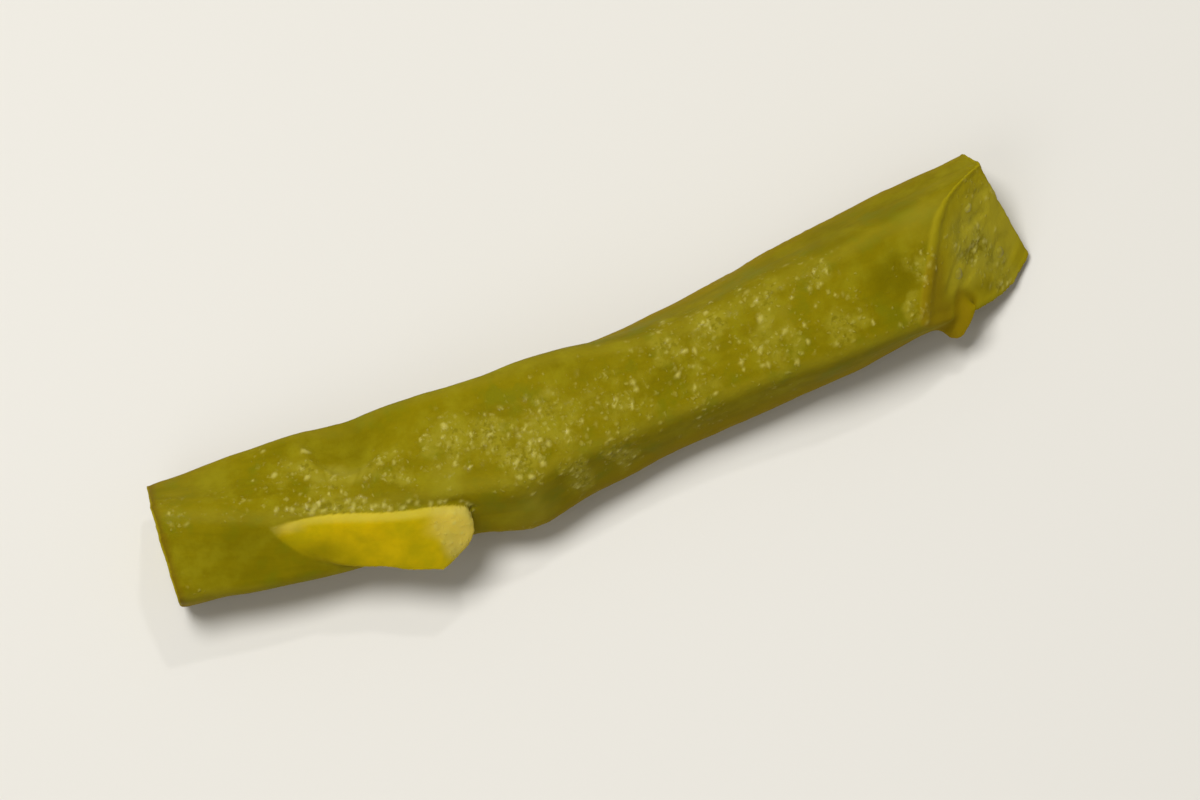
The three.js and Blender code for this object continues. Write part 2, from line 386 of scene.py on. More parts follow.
def podPlace(points):
    # where each point lies in the section: its face, the share across it, and how far out, 1 at the skin
    x = points[:, 0]
    scaleY, middleY, scaleZ, middleZ = sectionFit(x)
    unitY, unitZ = (points[:, 1] - middleY) / scaleY, (points[:, 2] - middleZ) / scaleZ
    turn = np.degrees(np.arctan2(unitY, unitZ))
    out = np.hypot(unitY, unitZ)
    face = np.zeros(len(x), int)
    across = np.zeros(len(x))
    reach = np.ones(len(x))
    for f in range(5):
        past = (ridgeTurn(f, x) - turn) % 360
        span = ridgeTurn(f, x) - ridgeTurn(f + 1, x)
        here = past < span
        face[here] = f
        across[here] = (past / span)[here]
        reach[here] = skinRadius(f, np.clip(past / span, 0, 1), x)[here]
    return face, across, out / reach


def planeOf(cut):
    facing = np.array(cut["facing"], float)
    return np.array(cut["at"], float), facing / np.linalg.norm(facing)


def aheadOf(points, cut):
    # signed distance past a cut's plane
    at, facing = planeOf(cut)
    return (points - at) @ facing


# The seed chambers. Their middle, reach and the wall between them are fractions of the way from the pod's
# axis to its skin, and depths and pulp are in millimetres.
chamber = {
    "middle": 0.47, "reach": 0.27, "septum": 0.1, "leastHalfWidth": 0.02,
    "raggedAcross": 0.1, "raggedOut": 0.09, "raggedSize": 1.6,
    "squareDepth": 0.9, "slantDepth": 0.2, "shrink": 0.12,
    # a chamber's darkness is wet pulp with painted shade, strongest in the square cut's deep chambers
    "slantWetAndShade": 0.15,  # how dark and wet a chamber of the slant cut looks beside one of the square cut
    "pulp": 0.15, "pulpSize": 1.6, "finePulp": 0.05, "finePulpSize": 0.7,
    "firmPulp": 0.4,  # the share of the pulp's unevenness that the walls between the chambers have
    "drawnUp": 0.9, "drawnReach": 1.25,  # how much pulp is drawn up round a seed, and how far round it
}


def chamberShare(face, across, out):
    # 1 in the middle of a seed chamber and 0 at its wall, for a point of the section
    aside = out * np.sin(np.radians(72) * np.minimum(across, 1 - across))
    halfWidth = np.maximum(out * math.sin(math.pi / 5) - chamber["septum"] / 2, chamber["leastHalfWidth"])
    spread = ((out - chamber["middle"]) / chamber["reach"]) ** 2 + (aside / halfWidth) ** 2
    return np.clip(1 - spread, 0, 1)


# Stippled, pale and shaded patches of the upper side: x and y in millimetres from the square cut, how far
# each one spreads, and how strong it is. The shaded ones are painted shade; the pale ones are partly paler
# skin and partly painted sheen and highlight.
grainPatches = [
    (2.0, 1.6, 2.4, 0.6), (1.6, -4.4, 1.8, 0.5), (6.5, 0.4, 3.0, 0.5), (11.5, 1.4, 3.4, 0.65),
    (13.4, 1.8, 2.0, 0.95), (15, -1.6, 3.2, 0.8), (21, -1.8, 3.4, 0.8), (26, -1.0, 4.6, 0.85),
    (29.5, -1.5, 3.6, 1.0), (31.2, -4.2, 3.6, 1.0), (35.4, -7.0, 2.2, 1.0), (39.8, -6.8, 2.2, 0.95),
    (35, -2, 5.6, 0.8), (41, -2.5, 6.0, 0.75), (46, 0.4, 3.4, 0.9), (51, 0.7, 3.4, 0.95),
    (48, -3.6, 4.6, 0.7), (56, 1.2, 3.6, 0.9), (55, -2.6, 5.0, 0.75), (61, 1.8, 3.0, 0.85),
    (61.8, -3.0, 3.4, 0.95), (67.4, -4.0, 2.6, 0.9), (69.0, -0.6, 2.6, 0.8), (74.9, 0.1, 3.0, 1.0),
    (76.6, -2.5, 2.2, 0.9), (77.0, 4.0, 3.0, 0.6),
]
# partly paler skin, partly painted sheen and highlight: on the far facet by the square cut, the dent's lip
# and the near side
paleAndSheenPatches = [
    (55.5, -0.6, 1.9, 0.8), (31.0, -8.2, 2.6, 0.5), (35.2, -7.1, 1.1, 0.5), (36.3, -7.3, 1.0, 0.45),
    (39.6, -7.0, 1.2, 0.4), (4, 3.4, 4.4, 0.2), (71, 3.0, 3.6, 0.3), (14.4, 0.7, 1.3, 0.6),
    (15.8, 0.0, 1.3, 0.7), (17.2, -0.5, 1.3, 0.7), (18.7, -0.9, 1.3, 0.6), (13.4, 2.0, 1.6, 0.55),
    (25, -3.6, 2.2, 0.35), (50.5, 0.8, 2.4, 0.35), (74.9, 0.4, 2.6, 0.8), (76.4, -0.8, 1.8, 0.6),
    (77.6, -2.2, 1.6, 0.5),
]
# painted shade: in the dent, in the trough beside the strip, on the far facet towards the slant cut and in
# smaller spots
shadePatches = [
    (18.6, 2.6, 3.2, 0.5), (20.6, -2.9, 2.0, 0.5), (6.5, -2.9, 4.0, 0.45), (66.6, -0.8, 3.2, 0.7),
    (45.5, -1.6, 2.6, 0.35), (38.5, 0.6, 2.4, 0.3), (70.6, -3.8, 1.8, 0.4), (75.2, -3.0, 1.4, 0.6),
    (58, 4.6, 3.0, 0.4), (63, 5.2, 3.4, 0.5), (68.5, 5.8, 3.4, 0.4),
]
patchEdge = {"ragged": 1.5, "raggedSize": 1.9, "fade": (0.1, 1.2)}

# The skin's relief: its heights, sizes and widths in millimetres. A lean moves that relief's middle inwards,
# as a share of its height. Softening counts smoothing passes, and firmCut is how far a cut is spared them.
relief = {
    "lump": 0.2, "lumpSize": 7.0, "lumpStep": 2.3, "lumpLean": 0.6,
    "grownRadius": 6, "fibre": 0.015, "fibreSize": 0.9, "fibreLength": 9.0,
    "pebble": 0.05, "pebbleSize": 0.85, "pebbleReach": 0.62, "lowPebble": 0.35, "pebbleLean": 0.25,
    "rough": 0.04, "roughSize": 0.5, "leastRough": 0.25,
    "grooveDepth": 0.3, "grooveWidth": 0.45, "grooveAside": 0.85,
    "lip": 0.3, "stripLump": 0.16, "stripLumpSize": 2.4, "stripLean": 0.4,
    "softening": 30, "firmCut": 0.75,
}

# Beads of pulp that have dried on the skin, in millimetres: most are dim, and a few are bright.
beads = {
    "seed": 12, "count": 950, "radius": (0.15, 0.27), "length": (1.0, 1.9), "height": 0.09, "dim": 0.2,
    "turn": (1.3, 0.7),  # which way the long ones point and how much that varies, in radians
    "ragged": 0.14, "raggedSize": 0.45,
    "rowGap": 0.8, "rowRadius": 0.25, "rowStrength": 0.75, "stray": 0.16,
}


def patchShare(points, patches):
    total = np.zeros(len(points))
    pushes = [noiseAt(points, patchEdge["raggedSize"], name) for name in ("patchAlong", "patchAcross")]
    pushed = points[:, :2] + patchEdge["ragged"] * np.c_[pushes[0], pushes[1]]
    for x, y, spread, strength in patches:
        away = np.hypot(pushed[:, 0] - x, pushed[:, 1] - y) / spread
        total = np.maximum(total, strength * (1 - smooth(away, *patchEdge["fade"])))
    return total


def distanceTo(points, line):
    # to the nearest point of a line, a part at a time to save memory
    parts = np.array_split(points, 20)
    return np.concatenate([np.linalg.norm(part[:, None] - line[None], axis=2).min(1) for part in parts])


def nearness(points, shape, full, none):
    # 1 on a base shape's surface and 0 away from it, in millimetres
    away = np.array([shape.find_nearest(Vector(p))[3] for p in inFrame(points)]) / mm
    return 1 - smooth(away, full, none)


def joinSkin(body, strip, tongue):
    # one closed skin from the body, strip and tongue, with even, fine faces
    pickOnly(body)
    strip.select_set(True)
    tongue.select_set(True)
    bpy.ops.object.join()
    applyModifier(body, "REMESH", mode="VOXEL", voxel_size=podShape["voxel"] * mm, adaptivity=0)
    applyModifier(body, "SMOOTH", factor=0.5, iterations=3)


def beadShare(points, grain, row):
    # 1 at the top of each small bead and 0 off it: thick where the skin is stippled, and along one row
    pick = np.random.default_rng(beads["seed"])
    chance = grain**2
    scattered = points[pick.choice(len(points), beads["count"], replace=False, p=chance / chance.sum())]
    row = row + pick.normal(0, beads["stray"], row.shape)
    inRow = points[[np.linalg.norm(points - place, axis=1).argmin() for place in row]]
    places = np.r_[scattered, inRow]
    radius = pick.uniform(*beads["radius"], len(places))
    strength = beads["dim"] + (1 - beads["dim"]) * pick.random(len(places)) ** 3
    strength[len(scattered):], radius[len(scattered):] = beads["rowStrength"], beads["rowRadius"]
    turn = pick.normal(*beads["turn"], len(places))
    grownOut = pick.uniform(*beads["length"], len(places))
    tree = KDTree(len(places))
    for index, place in enumerate(places.tolist()):
        tree.insert(place, index)
    tree.balance()
    pushes = [noiseAt(points, beads["raggedSize"], name) for name in ("beadAlong", "beadAcross")]
    ragged = points + beads["ragged"] * np.c_[pushes[0], pushes[1], np.zeros(len(points))]
    index = np.array([tree.find(place)[1] for place in ragged.tolist()])
    offset = ragged - places[index]
    lengthwise = offset[:, 0] * np.cos(turn[index]) + offset[:, 1] * np.sin(turn[index])
    away = (offset**2).sum(1) - lengthwise**2 * (1 - 1 / grownOut[index] ** 2)
    return np.exp(-away / radius[index] ** 2) * strength[index]


# Where each mark of the skin begins and where it is full. Heights, places along or across the pod and
# distances are in millimetres, facing is a cosine, and the rest are shares of a whole.
fades = {
    "upward": (4.6, 6.8), "facingDown": (0.8, 0.95), "lying": (0.05, 0.4), "side": (3.5, 8.5),
    "ridge": (0.0, 0.16), "hidden": (-0.1, 0.5),
    "onCut": (0.45, 0.8), "behindCut": (0.15, 0.5), "squareEnd": (20, 21), "slantEnd": (60, 62),
    "slantCut": (66, 68), "hollow": (0, 0.85), "wall": (0.03, 0.14), "rim": (0.02, 0.13),
    "sliver": (0.1, 0.4), "sliverAcross": (-2.5, 2.0), "sliverAlong": (71.5, 74),
    "byTongue": (0.2, 1.3), "tongueAlong": (72.0, 73.5),
    "inDent": (0.5, 0.85), "nearDent": (-0.2, 0.6), "lipAcross": (3.4, 4.6),
    "onStrip": (0.08, 0.3), "stripStart": (8.5, 11.0), "stripEdge": (0.15, 0.9), "firmStrip": (0.5, 1.8),
    "stripFlank": (0.8, 3.4), "stripFirst": (12.5, 17.0), "stripEnd": (20.0, 24.0),
    "paleTip": (10.0, 12.6), "paleTipDeep": (0.5, 1.5),
}
# How the marks' edges run: how far each one wanders, how far the painted shade reaches from the square cut,
# and how much the strip's pale end slants.
markEdges = {
    "wanderSize": 1.8, "squareCutShadeReach": 1.2, "squareCutShadeWander": 0.4, "paleTipWander": 0.8,
    "stripEndWander": 1.6, "stripEndSlant": 0.15,
}
# How much some marks count, and how stippled the skin is where no patch says it.
markShares = {"faceSpared": 0.8, "paleTip": 0.75, "flankFade": 0.25, "firstFade": 0.45}
stipple = {"hidden": 0.5, "hiddenSize": 9.0, "dentLoss": 0.9, "lip": 0.2, "stripEnd": 0.75}


def rise(value, name):
    return smooth(value, *fades[name])


def fall(value, name):
    return 1 - smooth(value, *fades[name])


def cutMarks(marks, points, normals, tongueShape, section, wander):
    # the cut faces: their rim, wall and chambers, and the sliver by the tongue
    face, across, out = section
    x, y = points[:, :2].T
    cuts = (squareCut, endCut, slantCut)
    ahead = np.array([aheadOf(points, cut) for cut in cuts])
    facing = np.array([planeOf(cut)[1] for cut in cuts])[ahead.argmax(0)]
    marks["facing"] = facing
    flat = rise((normals * facing).sum(1), "onCut") * fall(-ahead.max(0), "behindCut")
    byTongue = nearness(points, tongueShape, *fades["byTongue"]) * rise(x, "slantCut")
    onCut = flat * (1 - byTongue)
    marks["onCut"] = onCut
    raggedOut = chamber["raggedOut"] * noiseAt(points, chamber["raggedSize"], "chamberEdge")
    share = chamberShare(face, across + chamber["raggedAcross"] * wander, out + raggedOut)
    marks["hollow"] = rise(share, "hollow") * onCut
    marks["wall"] = rise(1 - out, "wall") * onCut
    marks["rim"] = fall(1 - out, "rim") * onCut
    sliver = fall(1 - out, "sliver") * onCut * fall(y, "sliverAcross") * fall(x, "sliverAlong")
    marks["sliver"] = np.maximum(sliver * rise(x, "slantEnd"), byTongue * fall(x, "tongueAlong"))
    square = onCut * fall(x, "squareEnd")
    # wet pulp darkens the chambers, with painted shade, strongest in the square cut's deep chambers
    marks["wetAndShadedHollow"] = marks["hollow"] * (chamber["slantWetAndShade"] + (1 - chamber["slantWetAndShade"]) * square)
    marks["depth"] = chamber["slantDepth"] + (chamber["squareDepth"] - chamber["slantDepth"]) * square
    # painted shade: a dark brown band on the skin along the square cut, faint on the cut face itself
    reach = markEdges["squareCutShadeReach"] + markEdges["squareCutShadeWander"] * wander
    marks["squareCutShade"] = (1 - smooth(-ahead[0], 0.0, reach)) * (1 - markShares["faceSpared"] * onCut)


def stripMarks(marks, points, onStrip, attachedLine, wander):
    # the peeled strip: pale along its attached edge and at both tips, and fading into the skin at its start.
    # Away from its attached edge it has painted shade.
    x, y = points[:, :2].T
    edge = attachedLine[2:] + (0, relief["grooveAside"], 0)
    fromEdge = distanceTo(points, attachedLine)
    paleTip = fall(x + markEdges["paleTipWander"] * wander, "paleTip") * fall(fromEdge, "paleTipDeep")
    along = x + markEdges["stripEndSlant"] * y + markEdges["stripEndWander"] * wander
    # painted shade: away from its attached edge, most near its start, the strip's colour gives way to darker
    # skin
    flank = markShares["flankFade"] + markShares["firstFade"] * fall(x, "stripFirst")
    fading = rise(fromEdge, "stripFlank") * flank
    marks["groove"] = np.exp(-(distanceTo(points, edge) / relief["grooveWidth"]) ** 2) * (1 - onStrip)
    marks["stripEdge"] = onStrip * fall(fromEdge, "stripEdge")
    marks["stripEnd"] = onStrip * np.maximum(rise(along, "stripEnd"), markShares["paleTip"] * paleTip)
    marks["firmStrip"] = onStrip * rise(fromEdge, "firmStrip")
    marks["onStrip"] = onStrip * rise(x, "stripStart") * (1 - fading)
    return edge


def dentMarks(marks, points, upward, wander):
    # the lip on the near side of the dent, and how far inside the dent a point lies
    x, y = points[:, :2].T
    dent = podShape["dent"]
    away = np.hypot((x - dent["x"]) / dent["halfLength"], (y - dent["y"]) / dent["halfBreadth"])
    towardsNear = dent["lipLean"] * (dent["y"] - y) / dent["halfBreadth"]
    side = rise((dent["x"] - x) / dent["halfLength"] + towardsNear, "nearDent")
    ring = np.exp(-((away - dent["lipAt"] - dent["lipWander"] * wander) / dent["lipWidth"]) ** 2)
    marks["lip"] = ring * side * upward * fall(y, "lipAcross")
    return fall(away, "inDent") * upward


def marksOf(points, normals, stripShape, tongueShape, attachedLine):
    # what each point of the skin is: strip, cut face, stippled, ridge and so on, from 0 to 1
    face, across, out = podPlace(points)
    turn = np.radians(72 * (face + across))
    x, y, z = points.T
    wander = noiseAt(points, markEdges["wanderSize"], "wander")
    upward = rise(z, "upward")
    underneath = rise(-normals[:, 2], "facingDown") * fall(z, "lying")
    onStrip = nearness(points, stripShape, *fades["onStrip"])
    radius = relief["grownRadius"] * out
    marks = {"grown": np.c_[x, radius * np.sin(turn), radius * np.cos(turn)], "underneath": underneath}
    cutMarks(marks, points, normals, tongueShape, (face, across, out), wander)
    inDent = dentMarks(marks, points, upward, wander)
    edge = stripMarks(marks, points, onStrip, attachedLine, wander)

    shown = np.maximum(upward, marks["onCut"] * rise(x, "slantCut"))
    hidden = stipple["hidden"] * rise(noiseAt(points, stipple["hiddenSize"], "hiddenSkin"), "hidden")
    grain = patchShare(points, grainPatches) * shown + hidden * (1 - shown)
    grain = grain * (1 - stipple["dentLoss"] * inDent) * (1 - onStrip) + marks["groove"]
    grain = grain + stipple["lip"] * marks["lip"] + stipple["stripEnd"] * marks["stripEnd"]
    marks["grain"] = np.clip(grain, 0, 1) * (1 - underneath)
    rowLength = np.linalg.norm(np.diff(edge, axis=0), axis=1).sum()
    row = curvePoints(edge, round(rowLength / beads["rowGap"]))
    marks["bead"] = beadShare(points, marks["grain"], row)
    # pale: partly paler skin, partly painted sheen and highlight
    marks["pale"] = patchShare(points, paleAndSheenPatches) * shown * (1 - onStrip)
    # painted shade
    marks["dark"] = patchShare(points, shadePatches) * shown * (1 - onStrip)
    # painted shade: the lower sides, by height, take a warmer olive with no blue
    marks["side"] = fall(z, "side") * (1 - onStrip)
    marks["ridge"] = fall(np.minimum(across, 1 - across), "ridge")
    marks["skinDepth"] = np.clip(1 - out, 0, 1)
    return marks


def softenRidges(body, marks):
    # cooking rounds the ridges, while the cut faces and the torn pieces keep their edges
    firmCut = relief["firmCut"] * marks["onCut"]
    firm = np.maximum.reduce([firmCut, marks["firmStrip"], marks["underneath"]])
    group = body.vertex_groups.new(name="softSkin")
    for index, weight in enumerate((1 - firm).tolist()):
        group.add((index,), weight, "REPLACE")
    applyModifier(body, "SMOOTH", factor=0.5, iterations=relief["softening"], vertex_group="softSkin")
    body.vertex_groups.clear()


def reliefOf(points, marks):
    # how far each point moves out along its normal
    onCut, underneath, grain, onStrip = (marks[name] for name in ("onCut", "underneath", "grain", "onStrip"))
    away, own = cellsAt(points, relief["pebbleSize"])
    low = relief["lowPebble"]
    pebbles = np.clip(1 - (away / relief["pebbleReach"]) ** 2, 0, 1) * (low + (1 - low) * own)
    across = relief["fibreSize"]
    fibre = noiseAt(marks["grown"] / (relief["fibreLength"], across, across), 1.0, "fibre")
    lump = noiseAt(points, relief["lumpSize"], "lump")
    lump += 0.5 * noiseAt(points, relief["lumpSize"] / relief["lumpStep"], "smallLump")
    rough = relief["rough"] * noiseAt(points, relief["roughSize"], "rough")
    stripLump = noiseAt(points, relief["stripLumpSize"], "stripLump") - relief["stripLean"]
    onSkin = (1 - onCut) * (1 - underneath)
    move = relief["lump"] * (lump - relief["lumpLean"]) * onSkin * (1 - onStrip)
    move += relief["fibre"] * fibre * onSkin
    move += rough * (relief["leastRough"] + grain) * (1 - underneath)
    move += relief["pebble"] * grain * (pebbles - relief["pebbleLean"]) + beads["height"] * marks["bead"]
    move += relief["stripLump"] * stripLump * onStrip
    return move - relief["grooveDepth"] * marks["groove"] + relief["lip"] * marks["lip"]


def chamberSink(points, marks, seats):
    # how far the cut faces are sunk: the chambers, with pulp drawn up round each seed, inside a firmer rim
    fromSeed = distanceTo(points, np.array([place for place, facing in seats]))
    bySeed = np.exp(-(fromSeed / chamber["drawnReach"]) ** 2)
    pulp = chamber["pulp"] * noiseAt(points, chamber["pulpSize"], "pulp")
    pulp += chamber["finePulp"] * noiseAt(points, chamber["finePulpSize"], "finePulp")
    shallow = 1 - smooth(marks["depth"], chamber["slantDepth"], chamber["squareDepth"])
    drawnUp = chamber["drawnUp"] * shallow
    sink = marks["depth"] * marks["hollow"] * (1 - drawnUp * bySeed) + chamber["shrink"] * marks["wall"]
    firm = chamber["firmPulp"]
    return sink + pulp * marks["onCut"] * (firm + (1 - firm) * marks["hollow"])


# the marks that the skin's material reads
skinMarks = ("onStrip", "stripEdge", "stripEnd", "onCut", "wetAndShadedHollow", "rim", "sliver", "squareCutShade", "grain",
             "bead", "pale", "dark", "side", "ridge", "skinDepth")


def finishSkin(body, strip, tongue, attachedLine, seats):
    graph = bpy.context.evaluated_depsgraph_get()
    stripShape, tongueShape = BVHTree.FromObject(strip, graph), BVHTree.FromObject(tongue, graph)
    joinSkin(body, strip, tongue)
    mesh = body.data
    points, normals = fromFrame(readArray(mesh, "co")), readArray(mesh, "normal")
    marks = marksOf(points, normals, stripShape, tongueShape, attachedLine)
    softenRidges(body, marks)
    points, normals = fromFrame(readArray(mesh, "co")), readArray(mesh, "normal")
    shaped = points + normals * reliefOf(points, marks)[:, None]
    shaped -= marks["facing"] * chamberSink(points, marks, seats)[:, None]
    placed = inFrame(shaped)
    placed[points[:, 2] < podShape["pressedFlat"], 2] = 0
    inside = podShape["clearance"] * mm
    placed = np.clip(placed, np.array(cadBox[0]) + inside, np.array(cadBox[1]) - inside)
    mesh.vertices.foreach_set("co", placed.astype(np.float32).ravel())
    mesh.update()
    grown = mesh.attributes.new("grown", "FLOAT_VECTOR", "POINT")
    grown.data.foreach_set("vector", marks["grown"].astype(np.float32).ravel())
    for name in skinMarks:
        mesh.attributes.new(name, "FLOAT", "POINT").data.foreach_set("value", marks[name].astype(np.float32))
    pickOnly(body)
    bpy.ops.object.shade_smooth()


# The seeds: how deep and how far out each one's middle lies, and how far it may stray.
seedShape = {
    "diameter": 2.5, "sunk": 1.17, "out": 0.5, "astray": 0.3, "sizes": (0.72, 0.92), "squash": (0.85, 1),
    "segments": 32, "rings": 20, "narrow": 0.93,
    "wrinkle": 0.05, "wrinkleScale": 1.6, "fineWrinkle": 0.02, "fineScale": 5,
    "dimple": 0.22, "dimpleReach": 0.5, "dimpleAt": (0.3, 0, 1.2),
    # along the pod, from well inside to past each end's cut, and how often that stretch is halved
    "squareSearch": (6, -1.5), "slantSearch": (60, 82.5), "halvings": 30,
}


def seedSeats():
    # where each chamber's line meets its end's cut, and the way the cut faces there
    seats = []
    for cuts, search in (([squareCut], "squareSearch"), ([endCut, slantCut], "slantSearch")):
        for ridge in range(5):
            within, past = seedShape[search]
            for _ in range(seedShape["halvings"]):
                x = (within + past) / 2
                place = skinPoint(x, ridge, 0, seedShape["out"])
                if max(aheadOf(place, cut) for cut in cuts) < 0:
                    within = x
                else:
                    past = x
            place = skinPoint(within, ridge, 0, seedShape["out"])
            cut = max(cuts, key=lambda cut: aheadOf(place, cut))
            seats.append((place, planeOf(cut)[1]))
    return seats


seats = seedSeats()
finishSkin(body, strip, tongue, attachedLine, seats)
print("pod finished with", len(body.data.polygons), "faces")


def seedBase():
    # one seed: nearly round, with a small dimple where it was attached
    bpy.ops.object.select_all(action="DESELECT")
    bpy.ops.mesh.primitive_uv_sphere_add(segments=seedShape["segments"], ring_count=seedShape["rings"],
                                         radius=seedShape["diameter"] / 2 * mm)
    seed = bpy.context.active_object
    for corner in seed.data.vertices:
        place = corner.co / mm
        wrinkle = seedShape["wrinkle"] * noise.noise(place * seedShape["wrinkleScale"])
        wrinkle += seedShape["fineWrinkle"] * noise.noise(place * seedShape["fineScale"])
        fromDimple = (place - Vector(seedShape["dimpleAt"])).length
        dimple = seedShape["dimple"] * math.exp(-(fromDimple / seedShape["dimpleReach"]) ** 2)
        corner.co = place * (1 + wrinkle - dimple) * mm
        corner.co.x *= seedShape["narrow"]
    bpy.ops.object.shade_smooth()
    return seed


def placeSeeds(seats):
    base = seedBase()
    seeds = []
    for index, (place, facing) in enumerate(seats):
        seed = base.copy()
        seed.data = base.data.copy()
        seed.name = seed.data.name = f"seed{index + 1}"
        bpy.context.collection.objects.link(seed)
        angle = random.uniform(0, 2 * math.pi)
        turn = Matrix.Rotation(angle, 4, Vector((random.random(), random.random(), 1)))
        size = random.uniform(*seedShape["sizes"])
        turn = turn @ Matrix.Diagonal((size, size * random.uniform(*seedShape["squash"]), size, 1))
        sideways = np.array([random.uniform(-1, 1) for _ in range(3)]) * seedShape["astray"]
        sideways -= facing * (sideways @ facing)
        sunk = inFrame(place + sideways - facing * seedShape["sunk"] * size)
        seed.data.transform(Matrix.Translation(Vector(sunk)) @ turn)
        seeds.append(seed)
    bpy.data.objects.remove(base)
    return seeds


seeds = placeSeeds(seats)
print("seeds placed:", len(seeds))


# Materials


def shade(hexColour):
    # sRGB hex to linear
    parts = [int(hexColour[i:i + 2], 16) / 255 for i in (1, 3, 5)]
    return tuple(p / 12.92 if p <= 0.04045 else ((p + 0.055) / 1.055) ** 2.4 for p in parts) + (1,)


def addNode(material, kind, links=None, **settings):
    # adds a shader node, sets its properties, then sets or links its inputs
    node = material.node_tree.nodes.new("ShaderNode" + kind)
    for name, value in settings.items():
        setattr(node, name, value)
    for socket, value in (links or {}).items():
        if isinstance(value, bpy.types.NodeSocket):
            material.node_tree.links.new(value, node.inputs[socket])
        else:
            node.inputs[socket].default_value = value
    return node


# Sockets that go by number, since a node has several of one name: a Mix node's two colours, and the limits
# that a MapRange node maps from and to.
under, over = 6, 7
fromLow, fromHigh, toLow, toHigh = 1, 2, 3, 4


def newMaterial(name):
    material = bpy.data.materials.new(name)
    material.use_nodes = True
    material.node_tree.nodes.clear()
    return material


skinLook = {
    "darkOlive": "#786B02", "olive": "#827403", "lightOlive": "#8C8210", "granular": "#91861C",
    "deep": "#6F6402", "green": "#737108",
    # side is painted shade on the lower sides
    "ridge": "#8E8320", "pale": "#A0962C", "shadow": "#6A5F00", "side": "#897300", "fleck": "#BDB257",
    "stripGreen": "#B09C06", "strip": "#C6A906", "stripEdge": "#C0AF3A", "stripEnd": "#C6B660",
    # hollow: the chambers' wet pulp, darkened further with painted shade
    "flesh": "#9C8D10", "pulp": "#A79A26", "hollow": "#7F720A", "rim": "#857A0C", "sliver": "#85700A",
    # painted shade along the square cut
    "squareCutShade": "#6A4E0C",
    "roughness": 0.64, "specular": 0.03, "beadCoat": 0.35, "bump": 0.07,
    "mottleSize": 3.5, "blotchSize": 1.5, "grainSize": 0.55, "fineSize": 0.3,
    "alongScale": (0.14, 0.8, 0.8),  # fibres are drawn out along the pod
    "shaken": 0.7,  # how far the specks' pattern is pushed about, so that they aren't round, in millimetres
    # specks: how far apart, how far each spreads in that unit, and their share of the stippled skin
    "specks": ((0.7, 0.5, 0.9), (0.42, 0.5, 0.95)),
}


